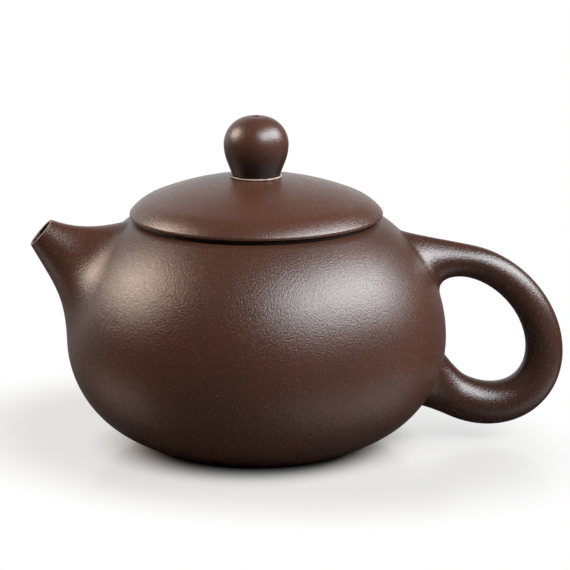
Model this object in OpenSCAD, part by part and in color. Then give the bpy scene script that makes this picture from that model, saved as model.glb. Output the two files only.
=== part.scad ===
// Round clay teapot with a lift-off lid, in millimetres.
// The pot stands on z = 0 with its axis on Z, the spout towards -X and the handle towards +X.
// Round walls are arcs that run into each other. A point on them is named by the tilt of the
// surface there: 0 degrees faces sideways, 90 faces up and -90 faces down.

/* [Belly] */
// Widest diameter of the belly
belly_d = 93; // [86:0.5:100]
// Height of the widest line above the foot
widest_z = 27; // [25:0.5:29]
// Radius of the arc from the widest line up
side_r = 34.7; // [32:0.1:38]
// Tilt at which the side arc runs into the shoulder
side_tilt = 52; // [47:1:57]
// Radius of the flatter shoulder arc
shoulder_r = 59; // [52:0.5:66]
// Radius of the arc from the widest line down
lower_r = 26; // [24:0.1:28]
// Tilt at which the lower arc runs into the bottom
lower_tilt = 60; // [56:1:65]
// Radius of the bottom arc
bottom_r = 75; // [68:0.5:82]
// Thickness of the clay wall
wall = 3.2; // [2.6:0.1:4]
// Width of the foot outside the base disc
foot_w = 2.4; // [1.8:0.1:3]
// Thickness of the base disc
base_t = 3; // [2.4:0.1:4]

/* [Mouth] */
// Bore of the mouth
mouth_d = 53.2; // [48:0.2:56]
// Width of the flat land round the mouth
land_w = 4.2; // [3.6:0.1:5]
// Width of the mouth ring that stands on the land
ring_w = 3; // [2.4:0.1:3.4]
// Height of the mouth ring above the shoulder
ring_h = 1; // [0.7:0.1:1.6]
// Thickness of the shoulder disc at the mouth
shoulder_t = 2.8; // [2.2:0.1:3.4]

/* [Spout] */
// How far the middle of the lip stands out from the belly's widest line
lip_out = 5.85; // [5:0.05:7]
// Height of the middle of the lip above the top edge of the flare, below it if negative
lip_rise = -2.3; // [-4.5:0.1:-0.5]
// Outer diameter of the lip
lip_d = 8; // [7:0.1:9]
// Thickness of the lip
lip_t = 0.65; // [0.5:0.05:1]
// Tilt of the spout's axis at the lip
lip_tilt = 41; // [36:0.5:45]
// Taper of the outside towards the lip, each side
lip_taper = 20; // [16:1:24]
// Gap between the lid's rim and the top edge of the flared root, seen from above
flare_gap = 0.25; // [0.15:0.05:3]
// Half height of the flared root, along the belly
flare_half = 17; // [15:0.1:19]
// Half width of the flared root
flare_w = 18; // [15:0.5:19]
// How far the flare follows the belly above the spout
flare_top = 20; // [16:0.5:23]
// How far the flare follows the belly below the spout
flare_low = 35.5; // [29:0.5:38]

/* [Strainer] */
// Diameter of the hole in the wall behind the spout
pour_d = 14; // [12:0.1:15]
// Tilt of the belly at the middle of that hole
pour_tilt = 32; // [30:0.5:34]
// Thickness of the strainer
strainer_t = 1.5; // [1.1:0.1:2]
// Diameter of one strainer hole
drip_d = 1.6; // [1.2:0.1:2]
// How far the strainer's rim lies below the outside of the wall
strainer_set = 1; // [0.9:0.1:1.4]
// Height of the strainer's rim
strainer_rim = 1.6; // [1.2:0.1:2]
// Width of the step from the rim to the dome
strainer_step = 0.3; // [0.2:0.05:0.5]
// Angle between the rings of strainer holes
drip_spread = 27; // [24:1:30]
// Rings of strainer holes round the middle one
drip_rings = 2; // [1:1:2]

/* [Handle] */
// How far the middle of the loop stands out from the belly's widest line
loop_out = 6.95; // [6:0.05:8]
// Height of the middle of the loop above the widest line
loop_rise = -0.1; // [-1:0.1:1]
// Long half axis of the loop, along the middle of the clay
loop_long = 20.3; // [19:0.1:22]
// Short half axis of the loop
loop_short = 15.5; // [14.6:0.05:17]
// Slope of the long axis below level
loop_slope = 47; // [43:0.5:52]
// Radius of the handle where it is thinnest, near the top
handle_thin = 4; // [3.4:0.05:4.4]
// Radius of the handle where it is thickest, near the lower end
handle_thick = 5.45; // [4.8:0.05:6.2]
// Tilt of the belly at the upper end
upper_tilt = 32; // [31:0.5:33.5]
// Half height of the upper end on the belly
upper_half = 9.6; // [9:0.1:10.2]
// Half width of the upper end on the belly
upper_w = 8.4; // [7.8:0.1:9.2]
// How far the upper end keeps its direction, at the belly and at the loop
upper_pull = 13; // [10:0.5:14]
// Tilt of the belly at the lower end
lower_end_tilt = -28; // [-31:1:-25]
// Half height of the lower end on the belly
lower_half = 7.6; // [6.8:0.1:8.4]
// Half width of the lower end on the belly
lower_w = 6.8; // [6:0.1:8]
// How far the lower end keeps its direction, at the belly and at the loop
lower_pull = 7.6; // [6.5:0.1:8.5]

/* [Lid] */
// How far the lid's rim stands out over the land's edge
lid_over = 0; // [-0.3:0.05:0.5]
// Height of the upright rim
rim_h = 0.7; // [0.5:0.1:1.4]
// Radius of the arc above the rim
edge_r = 12.25; // [11:0.05:13.5]
// Tilt of the dome where it meets the rim
edge_low = 38; // [34:0.5:42]
// Tilt at which the edge arc runs into the crown
edge_high = 67.5; // [64:0.5:71]
// Thickness of the lid
lid_wall = 3; // [2.4:0.1:3.6]
// How far the flange reaches down into the mouth
flange_h = 9; // [7:0.5:12]
// Thickness of the flange
flange_t = 2.6; // [2:0.1:3.4]

/* [Knob] */
// Widest diameter of the knob
knob_d = 15.75; // [14:0.05:17]
// Height of the knob above its seat
knob_h = 14.8; // [13:0.1:16]
// Height of the knob's widest line above its seat
knob_wide_h = 8; // [7.2:0.1:8.8]
// Radius of the arc below the widest line
knob_low_r = 11.5; // [10:0.1:13]
// Diameter of the knob's foot
knob_foot_d = 11.2; // [10.4:0.1:12.2]
// Thickness of the bead of slip round the foot
bead_d = 0.42; // [0.3:0.02:0.6]
// Diameter of the air hole
vent_d = 1.8; // [1.2:0.1:2.4]

/* [Fits] */
// Thickness of the slip under the spout and the handle
slip_t = 0.2; // [0.1:0.05:0.4]
// Room between luted pieces
lute_gap = 0.1; // [0.08:0.01:0.2]
// Room between the lid and the mouth ring
lid_gap = 0.12; // [0.1:0.01:0.3]
// Room between the flange and the mouth, each side
flange_gap = 0.3; // [0.2:0.05:0.6]

/* [Hidden] */
$fn = 96;
clay = "#5b4038";
slip = "#a08b7a";

// Fineness of the arcs and of the swept pieces
arc_step = 4;
round_step = 15;
sides = 36;
patch_rings = 4;
flare_rings = 9;
loop_rings = 26;
end_rings = 5;
overcut = 1;
nudge = 0.03;

// Belly arcs: each is a centre [r, z] and a radius
belly_r = belly_d / 2;
side_c = [belly_r - side_r, widest_z];
lower_c = [belly_r - lower_r, widest_z];
shoulder_c = side_c + (side_r - shoulder_r) * [cos(side_tilt), sin(side_tilt)];
bottom_c = lower_c + (lower_r - bottom_r) * [cos(lower_tilt), -sin(lower_tilt)];

function arc_c(tilt) = tilt > side_tilt ? shoulder_c : tilt > 0 ? side_c
    : tilt > -lower_tilt ? lower_c : bottom_c;
function arc_r(tilt) = tilt > side_tilt ? shoulder_r : tilt > 0 ? side_r
    : tilt > -lower_tilt ? lower_r : bottom_r;

// Point [r, z] of the belly at a tilt, moved in by depth
function belly_rz(tilt, depth = 0) = arc_c(tilt) + (arc_r(tilt) - depth) * [cos(tilt), sin(tilt)];
// Tilt of the belly, moved in by depth, at a height above or below the widest line
function tilt_above(z, depth) = z > belly_rz(side_tilt, depth).y
    ? asin((z - shoulder_c.y) / (shoulder_r - depth)) : asin((z - widest_z) / (side_r - depth));
function tilt_below(z, depth) = z < belly_rz(-lower_tilt, depth).y
    ? asin((z - bottom_c.y) / (bottom_r - depth)) : asin((z - widest_z) / (lower_r - depth));
// Tilt of the upper belly at a radius
function tilt_at_r(r) = r < belly_rz(side_tilt).x
    ? acos((r - shoulder_c.x) / shoulder_r) : acos((r - side_c.x) / side_r);
// Outline points between two tilts
function belly_arc(from, to, depth = 0) = let (n = ceil(abs(to - from) / arc_step))
    [for (i = [0:n]) belly_rz(from + (to - from) * i / n, depth)];
function arc(c, r, from, to, step = arc_step) = let (n = ceil(abs(to - from) / step))
    [for (i = [0:n]) let (a = from + (to - from) * i / n) c + r * [cos(a), sin(a)]];

// Heights and radii that follow from the belly
mouth_r = mouth_d / 2;
land_r = mouth_r + land_w;
land_tilt = tilt_at_r(land_r);
land_z = belly_rz(land_tilt).y;
ring_r = mouth_r + ring_w;
ring_top = land_z + ring_h;
seam_z = land_z - shoulder_t;
foot_tilt = tilt_below(0, 0);
foot_r = belly_rz(foot_tilt).x;
base_r = foot_r - foot_w;
inner_low_tilt = tilt_below(base_t, wall);

// Lid: rim, edge arc and crown
rim_r = land_r + lid_over;
rim_z = ring_top + lid_gap;
edge_c = [rim_r, rim_z + rim_h] - edge_r * [cos(edge_low), sin(edge_low)];
crown_r = edge_r + edge_c.x / cos(edge_high);
crown_c = [0, edge_c.y - (crown_r - edge_r) * sin(edge_high)];
flange_r = mouth_r - flange_gap;
flange_bore_r = flange_r - flange_t;

// Knob: arcs, taper and seat
knob_r = knob_d / 2;
knob_foot_r = knob_foot_d / 2;
knob_top_r = knob_h - knob_wide_h;
knob_low_c = [knob_r - knob_low_r, knob_wide_h];
foot_reach = [knob_foot_r - knob_low_c.x, knob_wide_h];
knob_taper = atan2(foot_reach.y, foot_reach.x) - acos(knob_low_r / norm(foot_reach));
bead_z = bead_d / 2 + lute_gap;
bead_r = knob_foot_r + (bead_d / 2 + lute_gap + sin(knob_taper) * bead_z) / cos(knob_taper);
seat_r = bead_r + bead_d / 2 + lute_gap;
seat_z = crown_c.y + sqrt(crown_r ^ 2 - seat_r ^ 2);

// Surfaces swept through rings of points
root_gap = slip_t + 2 * lute_gap;

// Point on the outside of the belly, at a tilt and a turn about Z, raised by lift
function belly_normal(tilt, turn) = [cos(tilt) * cos(turn), cos(tilt) * sin(turn), sin(tilt)];
function belly_point(tilt, turn, lift) = let (p = belly_rz(tilt, -lift))
    [p.x * cos(turn), p.x * sin(turn), p.y];
// A root is an oval patch on the belly: [tilt, turn, half tilt, half turn]
function root_point(root, a, scale, lift) =
    belly_point(root[0] + scale * root[2] * cos(a), root[1] + scale * root[3] * sin(a), lift);
function root_ring(root, scale, lift) =
    [for (i = [0:sides - 1]) root_point(root, 360 * i / sides, scale, lift)];
function unit(v) = v / norm(v);
// Angle in degrees of a length along an arc
function arc_angle(length, r) = length / r * 180 / PI;
// Direction in which a flare leaves the edge of a root: along the belly at a follow of 1, square to it at 0.
// The first follow holds round the root, and the second at its upper edge.
function root_leave(root, a, follows) = let (
        follow = follows[0] + (follows[1] - follows[0]) * max(0, cos(a)) ^ 6,
        p = root_point(root, a, 1, 0),
        n = belly_normal(root[0] + root[2] * cos(a), root[1] + root[3] * sin(a)),
        inward = root_point(root, a, 1 - nudge, 0) - p,
        along = unit(inward - (inward * n) * n))
    unit(follow * along + (1 - follow) * n);
function cubic(p, dp, q, dq, t) = (2 * t ^ 3 - 3 * t ^ 2 + 1) * p + (t ^ 3 - 2 * t ^ 2 + t) * dp
    + (3 * t ^ 2 - 2 * t ^ 3) * q + (t ^ 3 - t ^ 2) * dq;
function flat(lists) = [for (l = lists) each l];

// Closed skin through rings with a point at each end
module skin(first, rings, last) {
    n = len(rings);
    pts = concat([first], flat(rings), [last]);
    function at(i, j) = 1 + i * sides + j % sides;
    end = 1 + n * sides;
    faces = concat(
        [for (j = [0:sides - 1]) [0, at(0, j + 1), at(0, j)]],
        flat([for (i = [0:n - 2], j = [0:sides - 1])
            [[at(i, j), at(i + 1, j + 1), at(i + 1, j)], [at(i, j), at(i, j + 1), at(i + 1, j + 1)]]]),
        [for (j = [0:sides - 1]) [end, at(n - 1, j), at(n - 1, j + 1)]]);
    polyhedron(pts, faces, convexity = 6);
}

// Closed skin through rings that come back to the first one
module loop_skin(rings) {
    n = len(rings);
    function at(i, j) = (i % n) * sides + j % sides;
    faces = flat([for (i = [0:n - 1], j = [0:sides - 1])
        [[at(i, j), at(i + 1, j), at(i + 1, j + 1)], [at(i, j), at(i + 1, j + 1), at(i, j + 1)]]]);
    polyhedron(flat(rings), faces, convexity = 6);
}

// Pot

module belly_wall() {
    seam_tilt = tilt_above(seam_z, 0);
    inner_seam_tilt = tilt_above(seam_z, wall);
    color(clay) difference() {
        rotate_extrude() polygon(concat(
            belly_arc(foot_tilt, seam_tilt),
            belly_arc(inner_seam_tilt, inner_low_tilt, wall),
            [[base_r, base_t], [base_r, 0]]));
        pour_frame() translate([0, 0, -pour_d / 2]) cylinder(d = pour_d, h = pour_d);
    }
}

module base_disc() {
    color(clay) cylinder(r = base_r - lute_gap, h = base_t);
}

module shoulder_disc() {
    color(clay) rotate_extrude() polygon(concat(
        belly_arc(tilt_above(seam_z, 0), land_tilt),
        [[mouth_r, land_z], [mouth_r, seam_z]]));
}

module mouth_ring() {
    round_r = ring_h / 2;
    color(clay) rotate_extrude() polygon(concat(
        [[mouth_r, land_z]],
        arc([ring_r - round_r, land_z + round_r], round_r, -90, 90, round_step),
        [[mouth_r, ring_top]]));
}

// Places its children on the outside of the belly at the pouring hole, with Z pointing out
module pour_frame() {
    translate(belly_point(pour_tilt, 180, 0)) rotate([0, pour_tilt - 90, 0]) children();
}

module strainer() {
    collar_r = pour_d / 2 - lute_gap;
    dome_r = collar_r - strainer_step;
    color(clay) pour_frame() translate([0, 0, -strainer_set - strainer_rim]) {
        difference() {
            cylinder(r = collar_r, h = strainer_rim);
            translate([0, 0, -overcut]) cylinder(r = dome_r - strainer_t / 2, h = strainer_rim + 2 * overcut);
        }
        difference() {
            sphere(dome_r);
            sphere(dome_r - strainer_t);
            translate([0, 0, strainer_rim / 2]) cylinder(r = pour_d, h = pour_d);
            for (ring = [0:drip_rings], i = [1:max(1, 6 * ring)])
                rotate([0, 180 - drip_spread * ring, 360 * i / max(1, 6 * ring)])
                    translate([0, 0, dome_r - strainer_t - overcut])
                        cylinder(d = drip_d, h = strainer_t + 2 * overcut);
        }
    }
}

// Spout

flare_tilt = tilt_at_r(rim_r + flare_gap) - arc_angle(flare_half, side_r);
spout_root = [flare_tilt, 180, arc_angle(flare_half, side_r),
    -arc_angle(flare_w, belly_rz(flare_tilt).x)];
pour_root = [pour_tilt, 180, arc_angle(pour_d / 2, side_r),
    -arc_angle(pour_d / 2, belly_rz(pour_tilt).x)];
lip_c = [-belly_r - lip_out, 0, belly_rz(spout_root[0] + spout_root[2]).y + lip_rise];
lip_axis = [-cos(lip_tilt), 0, sin(lip_tilt)];
lip_up = [sin(lip_tilt), 0, cos(lip_tilt)];
spout_follow = [1, 0.7];

function lip_side(a) = cos(a) * lip_up + sin(a) * [0, 1, 0];
function lip_ring(r) = [for (i = [0:sides - 1]) lip_c + r * lip_side(360 * i / sides)];
// Outside of the spout, a fraction t of the way from the root to the lip
function spout_outside(t) = [for (i = [0:sides - 1]) let (
        a = 360 * i / sides,
        pull = (flare_top + flare_low) / 2 + (flare_top - flare_low) / 2 * cos(a))
    cubic(root_point(spout_root, a, 1, root_gap), pull * root_leave(spout_root, a, spout_follow),
        lip_c + lip_d / 2 * lip_side(a),
        pull * (cos(lip_taper) * lip_axis - sin(lip_taper) * lip_side(a)), t)];
// Bore of the spout, a fraction t of the way from the wall to the lip
function spout_inside(t) = [for (i = [0:sides - 1]) let (a = 360 * i / sides, pull = pour_d / 2)
    cubic(root_point(pour_root, a, 1, root_gap), pull * belly_normal(pour_tilt, 180),
        lip_c + (lip_d / 2 - lip_t) * lip_side(a), pull * lip_axis, t)];
// Rings on the belly between the spout's bore and the edge of its flare
function spout_foot(lift) = [for (k = [0:patch_rings]) let (s = k / patch_rings,
        root = pour_root + s * (spout_root - pour_root)) root_ring(root, 1, lift)];

function reverse(l) = [for (i = [len(l) - 1:-1:0]) l[i]];

module spout() {
    outside = [for (k = [1:flare_rings]) spout_outside(k / flare_rings)];
    inside = [for (k = [flare_rings:-1:1]) spout_inside(k / flare_rings)];
    color(clay) loop_skin(concat(spout_foot(root_gap), outside, inside));
}

module spout_slip() {
    color(slip) loop_skin(concat(spout_foot(lute_gap), reverse(spout_foot(lute_gap + slip_t))));
}

// Handle

loop_c = [belly_r + loop_out, widest_z + loop_rise];
// The loop's ellipse is used between these angles, and the ends run from there to the belly
loop_from = 126;
loop_to = -62;
upper_root = [upper_tilt, 0, arc_angle(upper_half, side_r),
    arc_angle(upper_w, belly_rz(upper_tilt).x)];
lower_root = [lower_end_tilt, 0, -arc_angle(lower_half, lower_r),
    arc_angle(lower_w, belly_rz(lower_end_tilt).x)];
upper_follow = [0.97, 0.7];
lower_follow = [0.45, 0.45];

function turn_down(v, a) = [v.x * cos(a) + v.y * sin(a), v.y * cos(a) - v.x * sin(a)];
function loop_mid(t) = loop_c + turn_down([loop_long * cos(t), loop_short * sin(t)], loop_slope);
// Direction along the loop from its upper end to its lower end
function loop_way(t) = unit(turn_down([loop_long * sin(t), -loop_short * cos(t)], loop_slope));
function handle_r(t) = let (s = (loop_from - t) / (loop_from - loop_to))
    handle_thin + (handle_thick - handle_thin) * s ^ 2 * (3 - 2 * s);
function handle_point(t, a) = let (m = loop_mid(t), w = loop_way(t), r = handle_r(t))
    [m.x - r * cos(a) * w.y, r * sin(a), m.y + r * cos(a) * w.x];
function handle_ring(t) = [for (i = [0:sides - 1]) handle_point(t, 360 * i / sides)];
// Ring of a flared end, a fraction s of the way from the belly to the loop
function end_ring(root, t, way, follows, pull, s) = [for (i = [0:sides - 1]) let (a = 360 * i / sides,
        w = way * loop_way(t))
    cubic(root_point(root, a, 1, root_gap), pull * root_leave(root, a, follows),
        handle_point(t, a), pull * [w.x, 0, w.y], s)];
function patch(root, lift) =
    [for (k = [1:patch_rings]) root_ring(root, k / patch_rings, lift)];

module handle() {
    upper = [for (k = [1:end_rings])
        end_ring(upper_root, loop_from, 1, upper_follow, upper_pull, k / end_rings)];
    middle = [for (k = [1:loop_rings]) handle_ring(loop_from + (loop_to - loop_from) * k / loop_rings)];
    lower = [for (k = [end_rings - 1:-1:1])
        end_ring(lower_root, loop_to, -1, lower_follow, lower_pull, k / end_rings)];
    color(clay) skin(
        root_point(upper_root, 0, 0, root_gap),
        concat(patch(upper_root, root_gap), upper, middle, lower, reverse(patch(lower_root, root_gap))),
        root_point(lower_root, 0, 0, root_gap));
}

module slip_pad(root) {
    skin(
        root_point(root, 0, 0, lute_gap),
        concat(patch(root, lute_gap), reverse(patch(root, lute_gap + slip_t))),
        root_point(root, 0, 0, lute_gap + slip_t));
}

module handle_slip() {
    color(slip) {
        slip_pad(upper_root);
        slip_pad([lower_root[0], lower_root[1], -lower_root[2], lower_root[3]]);
    }
}

// Lid

module lid_flange() {
    color(clay) translate([0, 0, rim_z - flange_h]) difference() {
        cylinder(r = flange_r, h = flange_h - lute_gap);
        translate([0, 0, -overcut]) cylinder(r = flange_bore_r, h = flange_h + 2 * overcut);
    }
}

module lid_plate() {
    inner_r = crown_r - lid_wall;
    hollow_tilt = acos(flange_bore_r / inner_r);
    vent_tilt = acos(vent_d / 2 / inner_r);
    color(clay) rotate_extrude() polygon(concat(
        [[flange_bore_r, rim_z], [rim_r, rim_z]],
        arc(edge_c, edge_r, edge_low, edge_high),
        arc(crown_c, crown_r, edge_high, acos(seat_r / crown_r)),
        [[vent_d / 2, seat_z]],
        arc(crown_c, inner_r, vent_tilt, hollow_tilt)));
}

module knob() {
    color(clay) translate([0, 0, seat_z + lute_gap]) rotate_extrude() polygon(concat(
        [[vent_d / 2, 0], [knob_foot_r, 0]],
        arc(knob_low_c, knob_low_r, -knob_taper, 0),
        arc([knob_r - knob_top_r, knob_wide_h], knob_top_r, 0, 90),
        [[vent_d / 2, knob_h]]));
}

module knob_ring() {
    color(slip) translate([0, 0, seat_z + bead_z]) rotate_extrude() translate([bead_r, 0]) circle(d = bead_d);
}

belly_wall();
base_disc();
shoulder_disc();
mouth_ring();
strainer();
spout();
spout_slip();
handle();
handle_slip();
lid_flange();
lid_plate();
knob();
knob_ring();
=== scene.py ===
"""Round unglazed clay teapot with a lift-off lid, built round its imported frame."""

import math

import bmesh
import bpy
from bpy.props import FloatProperty, FloatVectorProperty, IntProperty, PointerProperty
from mathutils import Euler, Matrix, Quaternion, Vector


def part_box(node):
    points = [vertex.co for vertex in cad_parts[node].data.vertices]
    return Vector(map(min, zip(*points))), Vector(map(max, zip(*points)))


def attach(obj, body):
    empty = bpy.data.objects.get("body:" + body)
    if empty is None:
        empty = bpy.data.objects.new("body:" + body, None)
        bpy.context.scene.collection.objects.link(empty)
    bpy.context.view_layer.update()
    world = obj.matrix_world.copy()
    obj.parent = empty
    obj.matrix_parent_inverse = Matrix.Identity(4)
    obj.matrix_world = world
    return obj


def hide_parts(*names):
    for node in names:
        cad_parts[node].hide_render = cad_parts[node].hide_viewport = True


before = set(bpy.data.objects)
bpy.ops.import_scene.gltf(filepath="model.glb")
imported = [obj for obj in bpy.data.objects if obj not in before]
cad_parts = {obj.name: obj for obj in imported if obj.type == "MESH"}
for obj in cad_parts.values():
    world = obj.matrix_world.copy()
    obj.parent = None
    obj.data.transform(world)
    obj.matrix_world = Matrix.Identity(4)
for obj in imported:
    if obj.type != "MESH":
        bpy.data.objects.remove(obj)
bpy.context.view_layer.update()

bl_info = {
    "name": "Clay Teapot",
    "version": (1, 0, 0),
    "blender": (4, 5, 0),
    "location": "View3D > Sidebar > Teapot",
    "description": "Builds a round clay teapot with a flared spout, a loop handle and a lift-off lid",
    "category": "Add Mesh",
}

MM = 0.001
TURN = 2 * math.pi
SPOUT_TURN = math.pi
HANDLE_TURN = 0.0


# Heights and radii that the frame gives

def low_of(node):
    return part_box(node)[0]


def high_of(node):
    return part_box(node)[1]


LAND_Z = high_of("shoulder_disc").z
RING_TOP = high_of("mouth_ring").z
RING_R = high_of("mouth_ring").x
LID_R = high_of("lid_plate").x
LID_LOW = low_of("lid_plate").z
SEAT_Z = high_of("lid_plate").z
FLANGE_LOW = low_of("lid_flange").z
FLANGE_TOP = high_of("lid_flange").z
FLANGE_R = high_of("lid_flange").x
KNOB_LOW = low_of("knob").z
KNOB_TOP = high_of("knob").z
BASE_TOP = high_of("base_disc").z


# Kinds of property

def length(name, description, millimetres):
    return FloatProperty(name=name, description=description, default=millimetres * MM,
                         unit="LENGTH", precision=5)


def angle(name, description, degrees):
    return FloatProperty(name=name, description=description, default=math.radians(degrees),
                         subtype="ANGLE")


def share(name, description, value):
    return FloatProperty(name=name, description=description, default=value,
                         subtype="FACTOR", min=0, max=1)


def number(name, description, value):
    return FloatProperty(name=name, description=description, default=value)


def tint(name, description, *rgb):
    return FloatVectorProperty(name=name, description=description, default=rgb, subtype="COLOR",
                               size=3, min=0, max=1)


class BellySizes(bpy.types.PropertyGroup):
    """The round wall from the foot to the mouth."""
    width: length("Width", "Widest diameter of the belly", 93)
    widest: length("Widest height", "Height of the widest line above the foot", 27)
    side_radius: length("Side radius", "Radius of the arc from the widest line up", 34.7)
    side_tilt: angle("Side tilt", "Tilt at which the side runs into the shoulder", 52)
    shoulder_radius: length("Shoulder radius", "Radius of the flatter shoulder", 59)
    lower_radius: length("Lower radius", "Radius of the arc from the widest line down", 26)
    lower_tilt: angle("Lower tilt", "Tilt at which the lower side runs into the bottom", 60)
    bottom_radius: length("Bottom radius", "Radius of the bottom arc", 75)
    wall: length("Wall", "Thickness of the clay wall", 3.2)
    foot_width: length("Foot width", "Width of the foot outside the base", 2.4)
    foot_edge: length("Foot edge", "Rounding of the foot's outer edge", 0.7)
    base_hollow: length("Base hollow", "Depth of the hollow under the base", 0.3)
    mouth: length("Mouth", "Bore of the mouth", 53.2)
    shoulder_wall: length("Shoulder wall", "Thickness of the shoulder at the mouth", 2.8)
    ring_edge: length("Ring edge", "Rounding of the mouth ring's inner edge", 0.35)


class SpoutSizes(bpy.types.PropertyGroup):
    """The flared spout and the strainer behind it."""
    lip_out: length("Lip out", "How far the lip's middle stands out from the belly", 5.85)
    lip_drop: length("Lip drop", "How far the lip's middle lies below the top of the flare", 2.3)
    lip_width: length("Lip width", "Outer diameter of the lip", 8)
    lip_wall: length("Lip wall", "Thickness of the lip", 0.65)
    lip_edge: length("Lip edge", "Rounding of the lip", 0.25)
    lip_tilt: angle("Lip tilt", "Tilt of the spout's axis at the lip", 41)
    lip_taper: angle("Lip taper", "Taper of the outside towards the lip", 20)
    flare_tilt: angle("Flare tilt", "Tilt of the belly at the middle of the flare", 26.49)
    flare_half: length("Flare half height", "Half height of the flare along the belly", 17)
    flare_width: length("Flare half width", "Half width of the flare", 18)
    pull_top: length("Top pull", "How far the flare follows the belly above the spout", 20)
    pull_low: length("Lower pull", "How far the flare follows the belly below the spout", 35.5)
    top_follow: share("Top follow", "How closely the flare leaves along the belly above the spout", 0.7)
    pour_width: length("Pouring hole", "Diameter of the hole behind the spout", 14)
    pour_tilt: angle("Pouring tilt", "Tilt of the belly at the pouring hole", 32)
    strainer_wall: length("Strainer wall", "Thickness of the strainer", 1.5)
    strainer_set: length("Strainer set", "Depth of the strainer's rim below the outside", 1)
    strainer_rim: length("Strainer rim", "Height of the strainer's rim", 1.6)
    strainer_step: length("Strainer step", "Step from the strainer's rim to its ball", 0.3)
    strainer_gap: length("Strainer gap", "Room round the strainer's rim", 0.1)
    drip_width: length("Drip hole", "Diameter of one strainer hole", 1.6)
    drip_spread: angle("Drip spread", "Angle between the rings of strainer holes", 27)
    drip_rings: IntProperty(name="Drip rings", description="Rings of holes round the middle one",
                            default=2)


class HandleSizes(bpy.types.PropertyGroup):
    """The loop handle."""
    loop_out: length("Loop out", "How far the loop's middle stands out from the belly", 6.95)
    loop_rise: length("Loop rise", "Height of the loop's middle above the widest line", -0.1)
    loop_long: length("Loop long", "Long half axis along the middle of the clay", 20.3)
    loop_short: length("Loop short", "Short half axis", 15.5)
    loop_slope: angle("Loop slope", "Slope of the long axis below level", 47)
    loop_from: angle("Loop start", "Angle on the loop where the upper end begins", 126)
    loop_to: angle("Loop end", "Angle on the loop where the lower end begins", -62)
    thin: length("Thin", "Radius of the handle near the top", 4)
    thick: length("Thick", "Radius of the handle near the lower end", 5.45)
    upper_tilt: angle("Upper tilt", "Tilt of the belly at the upper end", 32)
    upper_half: length("Upper half height", "Half height of the upper end on the belly", 9.6)
    upper_width: length("Upper half width", "Half width of the upper end", 8.4)
    upper_pull: length("Upper pull", "How far the upper end keeps its direction", 13)
    upper_follow: share("Upper follow", "How closely the upper end leaves along the belly", 0.97)
    upper_edge: share("Upper edge follow", "How closely its upper edge leaves along the belly", 0.7)
    lower_tilt: angle("Lower tilt", "Tilt of the belly at the lower end", -28)
    lower_half: length("Lower half height", "Half height of the lower end on the belly", 7.6)
    lower_width: length("Lower half width", "Half width of the lower end", 6.8)
    lower_pull: length("Lower pull", "How far the lower end keeps its direction", 7.6)
    lower_follow: share("Lower follow", "How closely the lower end leaves along the belly", 0.45)


class LidSizes(bpy.types.PropertyGroup):
    """The domed lid, its flange and its knob."""
    rim_height: length("Rim height", "Height of the upright rim", 0.7)
    rim_edge: length("Rim edge", "Rounding of the rim's edges", 0.22)
    edge_radius: length("Edge radius", "Radius of the arc above the rim", 12.25)
    edge_low: angle("Edge low tilt", "Tilt of the dome where it meets the rim", 38)
    edge_high: angle("Edge high tilt", "Tilt at which the edge runs into the crown", 67.5)
    wall: length("Lid wall", "Thickness of the lid", 3)
    flange_wall: length("Flange wall", "Thickness of the flange", 2.6)
    flange_edge: length("Flange edge", "Rounding of the flange's lower edges", 0.8)
    knob_width: length("Knob width", "Widest diameter of the knob", 15.75)
    knob_widest: length("Knob widest height", "Height of the knob's widest line above its foot", 8)
    knob_low_radius: length("Knob low radius", "Radius of the arc below the widest line", 11.5)
    knob_foot: length("Knob foot", "Diameter of the knob's foot", 11.2)
    bead: length("Slip bead", "Thickness of the bead of slip round the knob's foot", 0.42)
    vent: length("Air hole", "Diameter of the air hole", 1.8)
    vent_edge: length("Air hole edge", "Rounding of the air hole's edge", 0.15)


class ClayFinish(bpy.types.PropertyGroup):
    """Colours and grain of the fired clay."""
    brown: tint("Brown", "Main colour of the fired clay", 0.0372, 0.0153, 0.0098)
    rust: tint("Rust", "Redder colour in soft clouds", 0.0425, 0.0158, 0.0093)
    speck: tint("Speck", "Pale grains of sand in the clay", 0.150, 0.095, 0.070)
    # Worn: pale along the spout's lip, partly rubbed wear and partly a painted highlight on its edge.
    worn: tint("Worn", "Clay rubbed pale along the lip", 0.170, 0.105, 0.075)
    # Painted shade: a near-black colour laid in the spout's bore and on the knob's foot, where shade
    # falls.
    painted_shade: tint("Stain", "Tea stain inside the spout", 0.006, 0.003, 0.002)
    slip: tint("Slip", "Dry pale slip at the knob's foot", 0.360, 0.270, 0.205)
    cloud_size: length("Cloud size", "Size of the soft colour clouds", 22)
    grain_size: length("Grain size", "Size of the skin's fine bumps", 0.42)
    grain_height: length("Grain height", "Height of the skin's fine bumps", 0.13)
    roughness: share("Roughness", "Roughness of the clay's satin skin", 0.29)
    knob_roughness: share("Knob roughness", "Roughness of the knob, worn smooth", 0.33)
    handle_roughness: share("Handle roughness", "Roughness of the handle, worn by hands", 0.26)


class StageSettings(bpy.types.PropertyGroup):
    """Camera, lamps and floor."""
    lens: number("Lens", "Focal length in millimetres on a 36 mm sensor", 180.6)
    distance: FloatProperty(name="Distance", description="Camera's distance from its aim", default=0.7,
                            unit="LENGTH")
    pitch: angle("Pitch", "How far the camera looks down", 13.3)
    yaw: angle("Yaw", "How far the camera stands round towards the spout", 4)
    aim_x: length("Aim across", "Place of the camera's aim across the pot", 6.98)
    aim_z: length("Aim height", "Height of the camera's aim", 39.54)
    key_power: number("Key power", "Power of the soft box on the right, in watts", 38)
    key_tint: tint("Key colour", "Colour of the soft box on the right", 0.93, 0.96, 1.0)
    fill_power: number("Fill power", "Power of the soft box on the left, in watts", 12.5)
    fill_tint: tint("Fill colour", "Colour of the soft box on the left", 1.0, 0.83, 0.70)
    room_light: number("Room light", "Level of the plain light from all round", 0.04)


# Tools: outlines turned round the pot's axis

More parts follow.
